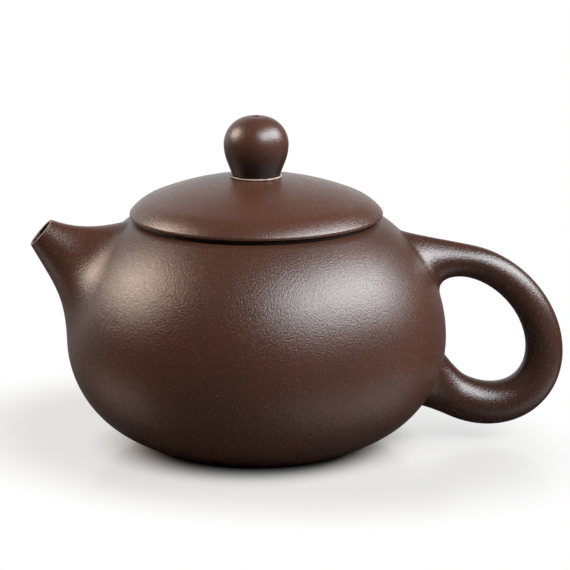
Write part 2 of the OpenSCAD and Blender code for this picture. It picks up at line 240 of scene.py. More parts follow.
def start_fresh():
    """Leaves edit mode with nothing selected."""
    if bpy.context.mode != "OBJECT":
        bpy.ops.object.mode_set(mode="OBJECT")
    bpy.ops.object.select_all(action="DESELECT")


def choose(piece):
    """Makes one piece the only one that is selected, and the active one."""
    start_fresh()
    bpy.context.view_layer.objects.active = piece
    piece.select_set(True)


class Outline:
    """A turned piece: one point drawn along an outline in the X-Z plane, then spun round Z."""
    ARC_STEP = math.radians(2.5)
    TURNS = 200
    SAME = 1e-7
    AT_CORNER = 1e-6
    SMOOTH = math.radians(40)
    CORNER_STEPS = 5

    def __init__(self, name, r, z):
        start_fresh()
        bpy.ops.mesh.primitive_circle_add(vertices=3, radius=MM, location=(r, 0, z))
        self.piece = bpy.context.object
        self.piece.name = name
        bpy.ops.object.transform_apply(location=True, rotation=False, scale=False)
        bpy.ops.object.mode_set(mode="EDIT")
        bpy.ops.mesh.select_all(action="SELECT")
        bpy.ops.mesh.merge(type="CENTER")
        self.first = self.last = Vector((r, z))
        self.corners = []

    def run(self, r, z, edge=0.0):
        """Draws a straight stretch to a point, whose corner is rounded later if an edge is given."""
        step = Vector((r, z)) - self.last
        bpy.ops.mesh.extrude_region_move(TRANSFORM_OT_translate={"value": (step.x, 0, step.y)})
        self.last = Vector((r, z))
        self.soften(edge)

    def turn(self, centre, to_tilt, edge=0.0):
        """Draws an arc round a centre until the outline faces a tilt."""
        arm = self.last - centre
        swing = to_tilt - math.atan2(arm.y, arm.x)
        steps = max(2, math.ceil(abs(swing) / self.ARC_STEP))
        bpy.ops.mesh.spin(steps=steps, angle=swing, center=(centre.x, 0, centre.y), axis=(0, 1, 0))
        self.last = centre + arm.length * Vector((math.cos(to_tilt), math.sin(to_tilt)))
        self.soften(edge)

    def soften(self, edge):
        if edge:
            self.corners.append((self.last.copy(), edge))

    def round_corners(self):
        for place, edge in self.corners:
            mesh = bmesh.from_edit_mesh(self.piece.data)
            corner = Vector((place.x, 0, place.y))
            for vertex in mesh.verts:
                vertex.select_set((vertex.co - corner).length < self.AT_CORNER)
            mesh.select_flush_mode()
            bpy.ops.mesh.bevel(offset=edge, segments=self.CORNER_STEPS, affect="VERTICES")

    def finish(self, closed=True):
        """Closes the outline, rounds its corners and spins it into a piece."""
        if closed:
            self.run(*self.first)
        bpy.ops.mesh.select_all(action="SELECT")
        bpy.ops.mesh.remove_doubles(threshold=self.SAME)
        self.round_corners()
        bpy.ops.mesh.select_all(action="SELECT")
        bpy.ops.mesh.spin(steps=self.TURNS, angle=TURN, center=(0, 0, 0), axis=(0, 0, 1))
        close_mesh(self.SAME)
        bpy.ops.object.shade_smooth_by_angle(angle=self.SMOOTH)
        return self.piece


def close_mesh(distance):
    """Merges what meets, turns the faces outwards and leaves edit mode."""
    bpy.ops.mesh.select_all(action="SELECT")
    bpy.ops.mesh.remove_doubles(threshold=distance)
    bpy.ops.mesh.normals_make_consistent(inside=False)
    bpy.ops.object.mode_set(mode="OBJECT")


# Tools: pieces drawn ring by ring

class RingPiece:
    """A swept piece: a circle set to its first ring, then extruded and set to each ring after it."""
    SMOOTH = math.radians(60)

    def __init__(self, name, ring):
        start_fresh()
        bpy.ops.mesh.primitive_circle_add(vertices=len(ring), radius=MM)
        self.piece = bpy.context.object
        self.piece.name = name
        bpy.ops.object.mode_set(mode="EDIT")
        bpy.ops.mesh.select_all(action="SELECT")
        self.places = {index: index for index in range(len(ring))}
        self.rings = []
        self.set_ring(ring)

    def mesh(self):
        mesh = bmesh.from_edit_mesh(self.piece.data)
        mesh.verts.ensure_lookup_table()
        return mesh

    def set_ring(self, ring):
        mesh = self.mesh()
        for index, place in self.places.items():
            mesh.verts[index].co = ring[place]
        self.rings.append(list(self.places))
        bmesh.update_edit_mesh(self.piece.data)

    def extrude(self, ring):
        bpy.ops.mesh.extrude_region_move()
        moved = {}
        for vertex in self.mesh().verts:
            if vertex.select:
                beside = [edge.other_vert(vertex) for edge in vertex.link_edges]
                source = next(other for other in beside if not other.select)
                moved[vertex.index] = self.places[source.index]
        self.places = moved
        self.set_ring(ring)

    def finish(self, bridge):
        """Bridges the two open rings, or fills each, and smooths the piece."""
        bpy.ops.mesh.select_mode(type="EDGE")
        bpy.ops.mesh.select_all(action="DESELECT")
        bpy.ops.mesh.select_non_manifold()
        if bridge:
            bpy.ops.mesh.bridge_edge_loops()
        else:
            bpy.ops.mesh.edge_face_add()
        bpy.ops.mesh.select_mode(type="VERT")
        close_mesh(Outline.SAME)
        bpy.ops.object.shade_smooth_by_angle(angle=self.SMOOTH)
        return self.piece

    def mark(self, name, shares):
        """Gives the points of each ring a share that a material reads by this name."""
        layer = self.piece.data.attributes.new(name, "FLOAT", "POINT")
        for ring, part in zip(self.rings, shares):
            for index in ring:
                layer.data[index].value = part


def cubic(start, leave, end, arrive, t):
    """Point of a curve that leaves start along one vector and arrives at end along another."""
    return ((2 * t**3 - 3 * t**2 + 1) * start + (t**3 - 2 * t**2 + t) * leave
            + (3 * t**2 - 2 * t**3) * end + (t**3 - t**2) * arrive)


# Shape of the belly and of what grows from it

class BellyShape:
    """The belly's arcs. A point is named by its surface's tilt: 0 faces sideways, a quarter turn up."""

    def __init__(self, sizes):
        self.sizes = sizes
        self.radius = sizes.width / 2
        self.side = Vector((self.radius - sizes.side_radius, sizes.widest))
        self.lower = Vector((self.radius - sizes.lower_radius, sizes.widest))
        shoulder_step = sizes.side_radius - sizes.shoulder_radius
        bottom_step = sizes.lower_radius - sizes.bottom_radius
        self.shoulder = self.side + shoulder_step * heading(sizes.side_tilt)
        self.bottom = self.lower + bottom_step * heading(-sizes.lower_tilt)

    def arc(self, tilt):
        s = self.sizes
        if tilt > s.side_tilt:
            return self.shoulder, s.shoulder_radius
        if tilt > 0:
            return self.side, s.side_radius
        if tilt > -s.lower_tilt:
            return self.lower, s.lower_radius
        return self.bottom, s.bottom_radius

    def point(self, tilt, lift=0.0):
        centre, radius = self.arc(tilt)
        return centre + (radius + lift) * heading(tilt)

    def shoulder_tilt(self, z, lift=0.0):
        return math.asin((z - self.shoulder.y) / (self.sizes.shoulder_radius + lift))

    def bottom_tilt(self, z, lift=0.0):
        return math.asin((z - self.bottom.y) / (self.sizes.bottom_radius + lift))

    def surface(self, tilt, turn):
        r, z = self.point(tilt)
        return Vector((r * math.cos(turn), r * math.sin(turn), z))

    def normal(self, tilt, turn):
        level, up = heading(tilt)
        return Vector((level * math.cos(turn), level * math.sin(turn), up))


def heading(tilt):
    return Vector((math.cos(tilt), math.sin(tilt)))


class Root:
    """An oval patch of the belly from which a spout or a handle end grows."""
    NUDGE = 0.03
    EDGE_POWER = 6

    def __init__(self, belly, tilt, turn, half_height, half_width, flip=1):
        self.belly, self.tilt, self.turn = belly, tilt, turn
        radius = belly.sizes.side_radius if tilt > 0 else belly.sizes.lower_radius
        self.half_tilt = flip * half_height / radius
        self.half_turn = flip_width(turn) * half_width / belly.point(tilt).x

    def place(self, a, scale=1.0):
        return (self.tilt + scale * self.half_tilt * math.cos(a),
                self.turn + scale * self.half_turn * math.sin(a))

    def point(self, a, scale=1.0):
        return self.belly.surface(*self.place(a, scale))

    def leave(self, a, follow, upper):
        """Direction in which a flare leaves the patch's edge: along the belly at 1, square to it at 0.

        One share holds round the patch, and the other at its upper edge."""
        follow += (upper - follow) * max(0, math.cos(a)) ** self.EDGE_POWER
        normal = self.belly.normal(*self.place(a))
        inward = self.point(a, 1 - self.NUDGE) - self.point(a)
        along = (inward - inward.dot(normal) * normal).normalized()
        return (follow * along + (1 - follow) * normal).normalized()


def flip_width(turn):
    """Ovals on the spout's side run the other way round, so that they line up with the lip."""
    return -1 if turn == SPOUT_TURN else 1


def round_angles(count):
    return [TURN * i / count for i in range(count)]


# Materials: sockets that take Python's operators

class Socket:
    """An output in a node tree, on which sums and products add the maths nodes that they need."""

    def __init__(self, tree, socket):
        self.tree, self.socket = tree, socket

    def maths(self, operation, first, second):
        return self.tree.add("ShaderNodeMath", {"operation": operation}, {0: first, 1: second})

    def __add__(self, other):
        return self.maths("ADD", self, other)

    def __sub__(self, other):
        return self.maths("SUBTRACT", self, other)

    def __rsub__(self, other):
        return self.maths("SUBTRACT", other, self)

    def __mul__(self, other):
        return self.maths("MULTIPLY", self, other)

    __radd__ = __add__
    __rmul__ = __mul__

    def between(self, low, high):
        """0 at low and below, 1 at high and above, and smooth from one to the other."""
        return self.tree.add("ShaderNodeMapRange", {"interpolation_type": "SMOOTHSTEP"},
                             {"Value": self, "From Min": low, "From Max": high})


class NodeTree:
    """A material's or the world's nodes."""

    def __init__(self, owner):
        owner.use_nodes = True
        self.nodes, self.links = owner.node_tree.nodes, owner.node_tree.links
        self.nodes.clear()

    def add(self, kind, settings=None, inputs=None, output=0):
        """Adds one node: its settings first, then the values or links of its inputs."""
        node = self.nodes.new(kind)
        for name, value in (settings or {}).items():
            setattr(node, name, value)
        for name, value in (inputs or {}).items():
            if isinstance(value, Socket):
                self.links.new(value.socket, node.inputs[name])
            else:
                node.inputs[name].default_value = value
        return Socket(self, node.outputs[output]) if node.outputs else node

    def blend(self, share, first, second):
        """Mixes two colours."""
        colours = {"Factor": share, 6: first, 7: second}
        return self.add("ShaderNodeMix", {"data_type": "RGBA"}, colours, 2)

    def noise(self, where, size, detail, roughness=0.5):
        """Noise whose features are about one size, in metres."""
        return self.add("ShaderNodeTexNoise", {}, {
            "Vector": where,
            "Scale": 1 / size,
            "Detail": detail,
            "Roughness": roughness,
        })

    def mark(self, name):
        """Share that a piece's points carry under a name, and 0 on pieces that have no such mark."""
        return self.add("ShaderNodeAttribute", {"attribute_name": name}, output="Fac")


def colour(rgb):
    return (*rgb, 1.0)


# Materials: fired clay and dry slip

CLOUD_SPAN = (0.35, 0.65)
SAND_SIZE = 0.9
SAND_SPAN = (0.72, 0.80)
SAND_SHARE = 0.35
DIMPLE_SPAN = (0.25, 0.5)
DIMPLE_SHARE = 0.1
DIMPLE_LIGHT = 0.6
FINE_SIZE = 0.4
FINE_SHARE = 0.3
ROUGHNESS_SPREAD = 0.12
WORN_AND_HIGHLIGHT_SHARE = 0.8
BORE_SHADE_SHARE = 0.9
FOOT_SHADE_SHARE = 0.95
FOOT_SHADE_FADE = 8 * MM


def clay_material(name, finish, roughness, grain_share=1.0, painted_light_share=1.0, painted_shade_below=None):
    """Unglazed clay: soft colour clouds, pale grains of sand and a fine bumpy skin.

    Points marked as worn turn pale, with rubbed wear and a painted highlight along the lip, and points
    marked for the bore get painted shade. Below a height, where one is given, painted shade darkens the
    clay towards a foot. The light share gives lighter and darker copies of the clay: painted light and
    shade."""
    material = bpy.data.materials.new(name)
    tree = NodeTree(material)
    where = tree.add("ShaderNodeTexCoord", output="Object")
    clouds = tree.noise(where, finish.cloud_size, 3.0, 0.55).between(*CLOUD_SPAN)
    grain = tree.noise(where, finish.grain_size, 2.0, 0.6)
    fine = tree.noise(where, finish.grain_size * FINE_SIZE, 1.0)
    sand = tree.noise(where, finish.grain_size * SAND_SIZE, 0.0).between(*SAND_SPAN)
    # Painted light and shade: each piece's copy of the clay is lighter or darker by its share, for how
    # light falls on it.
    brown, rust = [[c * painted_light_share for c in rgb] for rgb in (finish.brown, finish.rust)]
    skin = tree.blend(clouds, colour(brown), colour(rust))
    skin = tree.blend(sand * SAND_SHARE, skin, colour(finish.speck))
    raised = grain.between(*DIMPLE_SPAN) * DIMPLE_SHARE + (1 - DIMPLE_SHARE)
    skin = tree.blend(raised, colour([c * DIMPLE_LIGHT for c in brown]), skin)
    # Worn points turn pale: rubbed wear and a painted highlight along the lip.
    skin = tree.blend(tree.mark("worn") * WORN_AND_HIGHLIGHT_SHARE, skin, colour(finish.worn))
    # Painted shade: below the given height the clay darkens towards the foot.
    if painted_shade_below is not None:
        up = tree.add("ShaderNodeSeparateXYZ", {}, {0: where}, "Z")
        painted_foot_shade = (1 - up.between(painted_shade_below - FOOT_SHADE_FADE, painted_shade_below)) * FOOT_SHADE_SHARE
        skin = tree.blend(painted_foot_shade, skin, colour(finish.painted_shade))
    # Points marked for the bore get painted shade, nearly black.
    skin = tree.blend(tree.mark("shaded_bore") * BORE_SHADE_SHARE, skin, colour(finish.painted_shade))
    bump = tree.add("ShaderNodeBump", {}, {
        "Strength": 1.0,
        "Distance": finish.grain_height * grain_share,
        "Height": grain * (1 - FINE_SHARE) + fine * FINE_SHARE,
    })
    surface = tree.add("ShaderNodeBsdfPrincipled", {}, {
        "Base Color": skin,
        "Roughness": grain * ROUGHNESS_SPREAD + (roughness - ROUGHNESS_SPREAD / 2),
        "Normal": bump,
    })
    tree.add("ShaderNodeOutputMaterial", {}, {"Surface": surface})
    return material


SLIP_PATCH_SIZE = 3
SLIP_WORN_SPAN = (0.4, 0.7)
SLIP_WORN_SHARE = 0.6
SLIP_ROUGHNESS = 0.55
SLIP_WORN_ROUGHER = 0.2


def slip_material(name, finish):
    """Dry slip: pale and matt, with a little of the clay showing through."""
    material = bpy.data.materials.new(name)
    tree = NodeTree(material)
    where = tree.add("ShaderNodeTexCoord", output="Object")
    worn = tree.noise(where, finish.grain_size * SLIP_PATCH_SIZE, 3.0).between(*SLIP_WORN_SPAN)
    surface = tree.add("ShaderNodeBsdfPrincipled", {}, {
        "Base Color": tree.blend(worn * SLIP_WORN_SHARE, colour(finish.slip), colour(finish.brown)),
        "Roughness": worn * SLIP_WORN_ROUGHER + SLIP_ROUGHNESS,
    })
    tree.add("ShaderNodeOutputMaterial", {}, {"Surface": surface})
    return material


def clay():
    made = bpy.data.materials.get("fired_clay")
    return made or clay_material("fired_clay", teapot().finish, teapot().finish.roughness)


def place_on(piece, material, body, slot, *nodes):
    """Gives a finished piece its material and its body, and hides the solids that it stands for. The
    slot is not used.
    """
    piece.data.materials.clear()
    piece.data.materials.append(material)
    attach(piece, body)
    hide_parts(*nodes)


def teapot():
    return bpy.context.scene.clay_teapot


def cut_away(piece, tool):
    """Cuts one object out of a piece and removes it."""
    choose(piece)
    cut = piece.modifiers.new("cut", "BOOLEAN")
    cut.operation, cut.solver, cut.object = "DIFFERENCE", "EXACT", tool
    bpy.ops.object.modifier_apply(modifier=cut.name)
    bpy.data.objects.remove(tool)
    bpy.ops.object.shade_smooth_by_angle(angle=Outline.SMOOTH)


def pour_place(belly, spout):
    """Middle of the pouring hole on the belly, and the turn that points Z out of it."""
    return belly.surface(spout.pour_tilt, SPOUT_TURN), (0, spout.pour_tilt - math.pi / 2, 0)


# Pot

class TEAPOT_OT_belly(bpy.types.Operator):
    """Turns the belly's wall with its shoulder and mouth, and cuts the pouring hole"""
    bl_idname = "teapot.belly"
    bl_label = "Belly"
    HOLE_SIDES = 96

    def execute(self, context):
        sizes, spout = teapot().belly, teapot().spout
        belly = BellyShape(sizes)
        foot_tilt, mouth_r = belly.bottom_tilt(0), sizes.mouth / 2
        foot_r = belly.point(foot_tilt).x
        seam_z = LAND_Z - sizes.shoulder_wall
        base_r = foot_r - sizes.foot_width
        outline = Outline("belly", base_r, 0)
        outline.run(foot_r, 0, sizes.foot_edge)
        outline.turn(belly.bottom, -sizes.lower_tilt)
        outline.turn(belly.lower, 0)
        outline.turn(belly.side, sizes.side_tilt)
        outline.turn(belly.shoulder, belly.shoulder_tilt(LAND_Z))
        outline.run(mouth_r, LAND_Z)
        outline.run(mouth_r, seam_z, sizes.ring_edge)
        outline.run(*belly.point(belly.shoulder_tilt(seam_z, -sizes.wall), -sizes.wall))
        outline.turn(belly.shoulder, sizes.side_tilt)
        outline.turn(belly.side, 0)
        outline.turn(belly.lower, -sizes.lower_tilt)
        outline.turn(belly.bottom, belly.bottom_tilt(BASE_TOP, -sizes.wall))
        outline.run(base_r, BASE_TOP)
        piece = outline.finish()
        place, turn = pour_place(belly, spout)
        start_fresh()
        bpy.ops.mesh.primitive_cylinder_add(vertices=self.HOLE_SIDES, radius=spout.pour_width / 2,
                                            depth=spout.pour_width, location=place, rotation=turn)
        cut_away(piece, context.object)
        place_on(piece, clay(), "pot", "clay", "belly_wall", "shoulder_disc")
        return {"FINISHED"}


class TEAPOT_OT_base(bpy.types.Operator):
    """Turns the floor of the pot, a little hollow underneath"""
    bl_idname = "teapot.base"
    bl_label = "Base"

    def execute(self, context):
        sizes = teapot().belly
        belly = BellyShape(sizes)
        base_r = belly.point(belly.bottom_tilt(0)).x - sizes.foot_width
        hollow_r = base_r - sizes.foot_width
        outline = Outline("base", 0, sizes.base_hollow)
        outline.run(hollow_r, sizes.base_hollow, sizes.base_hollow * 2)
        outline.run(hollow_r + sizes.foot_width / 2, 0, sizes.base_hollow)
        outline.run(base_r, 0)
        outline.run(base_r, BASE_TOP)
        outline.run(0, BASE_TOP)
        place_on(outline.finish(closed=False), clay(), "pot", "clay", "base_disc")
        return {"FINISHED"}


class TEAPOT_OT_mouth_ring(bpy.types.Operator):
    """Turns the thin ring round the mouth that the lid sits on"""
    bl_idname = "teapot.mouth_ring"
    bl_label = "Mouth ring"

    def execute(self, context):
        sizes, finish = teapot().belly, teapot().finish
        mouth_r, round_r = sizes.mouth / 2, (RING_TOP - LAND_Z) / 2
        outline = Outline("mouth_ring", mouth_r, LAND_Z)
        outline.run(RING_R - round_r, LAND_Z)
        outline.turn(Vector((RING_R - round_r, LAND_Z + round_r)), math.pi / 2)
        outline.run(mouth_r, RING_TOP, sizes.ring_edge)
        # Painted shade: the ring under the lid's rim gets a darker copy of the clay.
        ring_shaded_clay = clay_material("clay_ring_painted_shade", finish, finish.roughness,
                                grain_share=0.5, painted_light_share=0.35)
        place_on(outline.finish(), ring_shaded_clay, "pot", "clay", "mouth_ring")
        return {"FINISHED"}


class TEAPOT_OT_strainer(bpy.types.Operator):
    """Turns the ball strainer behind the spout and drills its holes"""
    bl_idname = "teapot.strainer"
    bl_label = "Strainer"
    DRILL_SIDES = 24
    RING_HOLES = 6

    def execute(self, context):
        s = teapot().spout
        belly = BellyShape(teapot().belly)
        collar_r = s.pour_width / 2 - s.strainer_gap
        ball_r = collar_r - s.strainer_step
        bore_r = ball_r - s.strainer_wall
        middle = Vector((0, 0))
        outline = Outline("strainer", 0, -ball_r)
        outline.turn(middle, 0)
        outline.run(collar_r, 0)
        outline.run(collar_r, s.strainer_rim, s.strainer_gap)
        outline.run(bore_r, s.strainer_rim, s.strainer_gap)
        outline.run(bore_r, 0)
        outline.turn(middle, -math.pi / 2)
        piece = outline.finish(closed=False)
        cut_away(piece, self.drills(s, (ball_r + bore_r) / 2))
        place, turn = pour_place(belly, s)
        depth = s.strainer_set + s.strainer_rim
        choose(piece)
        piece.rotation_euler = turn
        piece.location = place - depth * belly.normal(s.pour_tilt, SPOUT_TURN)
        bpy.ops.object.transform_apply(location=True, rotation=True, scale=False)
        place_on(piece, clay(), "pot", "clay", "strainer")
        return {"FINISHED"}

    def drills(self, s, shell_r):
        """One object with a drill for each hole: a middle one and rings of six and twelve round it."""
        start_fresh()
        made = []
        for ring in range(s.drip_rings + 1):
            level, up = shell_r * heading(s.drip_spread * ring - math.pi / 2)
            for a in round_angles(max(1, self.RING_HOLES * ring)):
                spot = Vector((level * math.cos(a), level * math.sin(a), up))
                turn = spot.to_track_quat("Z", "Y").to_euler()
                bpy.ops.mesh.primitive_cylinder_add(vertices=self.DRILL_SIDES, radius=s.drip_width / 2,
                                                    depth=2 * s.strainer_wall,
                                                    location=spot, rotation=turn)
                made.append(bpy.context.object)
        for drill in made:
            drill.select_set(True)
        bpy.ops.object.join()
        return bpy.context.object


class TEAPOT_OT_spout(bpy.types.Operator):
    """Draws the flared spout ring by ring from the belly to the lip and back down its bore"""
    bl_idname = "teapot.spout"
    bl_label = "Spout"
    SIDES = 96
    FLARE_RINGS = 40
    FLARE_CROWDING = 1.3
    LIP_STEPS = 4

    def execute(self, context):
        s = teapot().spout
        belly = BellyShape(teapot().belly)
        self.root = Root(belly, s.flare_tilt, SPOUT_TURN, s.flare_half, s.flare_width)
        self.pour = Root(belly, s.pour_tilt, SPOUT_TURN, s.pour_width / 2, s.pour_width / 2)
        flare_top = belly.point(s.flare_tilt + self.root.half_tilt).y
        self.lip = Vector((-belly.radius - s.lip_out, 0, flare_top - s.lip_drop))
        self.axis = Vector((-math.cos(s.lip_tilt), 0, math.sin(s.lip_tilt)))
        self.up = Vector((math.sin(s.lip_tilt), 0, math.cos(s.lip_tilt)))
        self.pour_way = belly.normal(s.pour_tilt, SPOUT_TURN)
        steps = [k / self.FLARE_RINGS for k in range(self.FLARE_RINGS + 1)]
        outside = [self.outside(s, step ** self.FLARE_CROWDING) for step in steps]
        lip = self.lip_rings(s)
        inside = [self.inside(s, 1 - step) for step in steps[1:]]
        spout = RingPiece("spout", outside[0])
        for ring in outside[1:] + lip + inside:
            spout.extrude(ring)
        piece = spout.finish(bridge=True)
        # The lip's rings are marked worn: pale with rubbed wear and a painted highlight.
        spout.mark("worn", [0] * len(outside) + [1] * len(lip))
        # The bore's rings are marked for painted shade.
        spout.mark("shaded_bore", [0] * (len(outside) + len(lip)) + [1] * len(inside))
        place_on(piece, clay(), "pot", "clay", "spout", "spout_slip")
        return {"FINISHED"}

    def side(self, a):
        return math.cos(a) * self.up + math.sin(a) * Vector((0, 1, 0))

    def outside(self, s, t):
        """Ring of the outside, a fraction t of the way from the belly to the lip's rounded edge."""
        ring = []
        for a in round_angles(self.SIDES):
            pull = (s.pull_top + s.pull_low) / 2 + (s.pull_top - s.pull_low) / 2 * math.cos(a)
            arrive = math.cos(s.lip_taper) * self.axis - math.sin(s.lip_taper) * self.side(a)
            end = self.lip - s.lip_edge * self.axis + s.lip_width / 2 * self.side(a)
            ring.append(cubic(self.root.point(a), pull * self.root.leave(a, 1, s.top_follow),
                              end, pull * arrive, t))
        return ring

    def inside(self, s, t):
        """Ring of the bore, a fraction t of the way from the wall to the lip's rounded edge."""
        ring = []
        pull = s.pour_width / 2
        for a in round_angles(self.SIDES):
            end = self.lip - s.lip_edge * self.axis + (s.lip_width / 2 - s.lip_wall) * self.side(a)
            ring.append(cubic(self.pour.point(a), pull * self.pour_way, end, pull * self.axis, t))
        return ring

    def lip_rings(self, s):
        """Rings over the rounded lip, from its outside to its bore."""
        rings = []
        outer, inner = s.lip_width / 2 - s.lip_edge, s.lip_width / 2 - s.lip_wall + s.lip_edge
        quarter = [math.pi / 2 * k / self.LIP_STEPS for k in range(1, self.LIP_STEPS + 1)]
        edges = [(outer + s.lip_edge * math.cos(q), math.sin(q)) for q in quarter]
        edges += [(inner - s.lip_edge * math.cos(q), math.sin(q)) for q in reversed([0.0] + quarter)]
        for radius, rise in edges:
            along = self.lip - s.lip_edge * (1 - rise) * self.axis
            rings.append([along + radius * self.side(a) for a in round_angles(self.SIDES)])
        return rings


class TEAPOT_OT_handle(bpy.types.Operator):
    """Draws the loop handle ring by ring from its upper end to its lower end"""
    bl_idname = "teapot.handle"
    bl_label = "Handle"
    SIDES = 72
    END_RINGS = 16
    LOOP_RINGS = 72

    def execute(self, context):
        s = teapot().handle
        belly = BellyShape(teapot().belly)
        self.middle = Vector((belly.radius + s.loop_out, belly.sizes.widest + s.loop_rise))
        upper = Root(belly, s.upper_tilt, HANDLE_TURN, s.upper_half, s.upper_width)
        lower = Root(belly, s.lower_tilt, HANDLE_TURN, s.lower_half, s.lower_width, flip=-1)
        follows, pull = (s.upper_follow, s.upper_edge), s.upper_pull
        rings = [self.end_ring(s, upper, s.loop_from, 1, follows, pull, k / self.END_RINGS)
                 for k in range(self.END_RINGS)]
        rings += [self.loop_ring(s, s.loop_from + (s.loop_to - s.loop_from) * k / self.LOOP_RINGS)
                  for k in range(self.LOOP_RINGS + 1)]
        follows, pull = (s.lower_follow, s.lower_follow), s.lower_pull
        rings += [self.end_ring(s, lower, s.loop_to, -1, follows, pull, 1 - k / self.END_RINGS)
                  for k in range(1, self.END_RINGS + 1)]
        piece = RingPiece("handle", rings[0])
        for ring in rings[1:]:
            piece.extrude(ring)
        finish = teapot().finish
        # Painted shade: the handle gets a darker copy of the clay; its lower roughness is wear from
        # hands.
        handle_shaded_clay = clay_material("clay_handle_painted_shade", finish, finish.handle_roughness,
                                grain_share=0.8, painted_light_share=0.72)
        place_on(piece.finish(bridge=False), handle_shaded_clay, "pot", "clay", "handle", "handle_slip")
        return {"FINISHED"}

    def slope(self, s, x, z):
        c, k = math.cos(s.loop_slope), math.sin(s.loop_slope)
        return Vector((x * c + z * k, z * c - x * k))

    def way(self, s, t):
        """Direction along the loop, from its upper end to its lower end."""
        return self.slope(s, s.loop_long * math.sin(t), -s.loop_short * math.cos(t)).normalized()

    def loop_ring(self, s, t):
        middle = self.middle + self.slope(s, s.loop_long * math.cos(t), s.loop_short * math.sin(t))
        way = self.way(s, t)
        run = (s.loop_from - t) / (s.loop_from - s.loop_to)
        radius = s.thin + (s.thick - s.thin) * run**2 * (3 - 2 * run)
        return [Vector((middle.x - radius * math.cos(a) * way.y, radius * math.sin(a),
                        middle.y + radius * math.cos(a) * way.x)) for a in round_angles(self.SIDES)]

    def end_ring(self, s, root, t, sense, follows, pull, part):
        """Ring of a flared end, a part of the way from the belly to the loop."""
        way = sense * self.way(s, t)
        arrive = pull * Vector((way.x, 0, way.y))
        return [cubic(root.point(a), pull * root.leave(a, *follows), place, arrive, part)
                for a, place in zip(round_angles(self.SIDES), self.loop_ring(s, t))]


# Lid

class TEAPOT_OT_lid(bpy.types.Operator):
    """Turns the domed lid and the flange that drops into the mouth"""
    bl_idname = "teapot.lid"
    bl_label = "Lid"
    SMOOTHER = 0.9

    def execute(self, context):
        s = teapot().lid
        bore_r = FLANGE_R - s.flange_wall
        self.plate(s, bore_r)
        flange = Outline("lid_flange", bore_r, FLANGE_LOW)
        flange.soften(s.flange_edge)
        flange.run(FLANGE_R, FLANGE_LOW, s.flange_edge)
        flange.run(FLANGE_R, FLANGE_TOP)
        flange.run(bore_r, FLANGE_TOP)
        place_on(flange.finish(), clay(), "lid_neck", "clay", "lid_flange")
        return {"FINISHED"}

    def plate(self, s, bore_r):
        finish = teapot().finish
        vent_r = s.vent / 2
        edge = Vector((LID_R, LID_LOW + s.rim_height)) - s.edge_radius * heading(s.edge_low)
        crown_r = s.edge_radius + edge.x / math.cos(s.edge_high)
        crown = Vector((0, edge.y - (crown_r - s.edge_radius) * math.sin(s.edge_high)))
        seat_r = math.sqrt(crown_r**2 - (SEAT_Z - crown.y) ** 2)
        inner_r = crown_r - s.wall
        plate = Outline("lid_plate", vent_r, SEAT_Z)
        plate.run(seat_r, SEAT_Z)
        plate.turn(crown, s.edge_high)
        plate.turn(edge, s.edge_low, s.rim_edge)
        plate.run(LID_R, LID_LOW, s.rim_edge)
        plate.run(bore_r, LID_LOW)
        plate.run(*(crown + inner_r * heading(math.acos(bore_r / inner_r))))
        plate.turn(crown, math.acos(vent_r / inner_r))
        # Painted light: the lid gets a lighter copy of the clay, as if lit from above.
        lid_lit_clay = clay_material("clay_lid_painted_light", finish, finish.roughness * self.SMOOTHER,
                              grain_share=0.9, painted_light_share=1.26)
        place_on(plate.finish(), lid_lit_clay, "lid", "clay", "lid_plate")


class TEAPOT_OT_knob(bpy.types.Operator):
    """Turns the ball knob with its air hole, and the bead of slip round its foot"""
    bl_idname = "teapot.knob"
    bl_label = "Knob"
    SHADE_RISE = 1 * MM

    def execute(self, context):
        s, finish = teapot().lid, teapot().finish
        vent_r, foot_r, knob_r = s.vent / 2, s.knob_foot / 2, s.knob_width / 2
        wide_z = KNOB_LOW + s.knob_widest
        top_r = KNOB_TOP - wide_z
        low = Vector((knob_r - s.knob_low_radius, wide_z))
        reach = Vector((foot_r - low.x, s.knob_widest))
        taper = math.atan2(reach.y, reach.x) - math.acos(s.knob_low_radius / reach.length)
        knob = Outline("knob", vent_r, KNOB_LOW)
        knob.run(foot_r, KNOB_LOW)
        knob.run(*(low + s.knob_low_radius * heading(-taper)))
        knob.turn(low, 0)
        knob.turn(Vector((knob_r - top_r, wide_z)), math.pi / 2)
        knob.run(vent_r, KNOB_TOP, s.vent_edge)
        # Painted light: the knob gets a lighter copy of the clay, and painted shade darkens it below its
        # widest line.
        worn = clay_material("clay_knob_painted_light", finish, finish.knob_roughness,
                             grain_share=0.4, painted_light_share=1.1, painted_shade_below=wide_z + self.SHADE_RISE)
        place_on(knob.finish(), worn, "lid", "clay", "knob")
        bead_low, bead_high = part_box("knob_ring")
        centre = Vector((bead_high.x - s.bead / 2, (bead_low.z + bead_high.z) / 2))
        bead = Outline("knob_bead", centre.x + s.bead / 2, centre.y)
        bead.turn(centre, math.pi)
        bead.turn(centre, TURN)
        place_on(bead.finish(closed=False), slip_material("slip", finish), "lid", "slip", "knob_ring")
        return {"FINISHED"}


# Stage

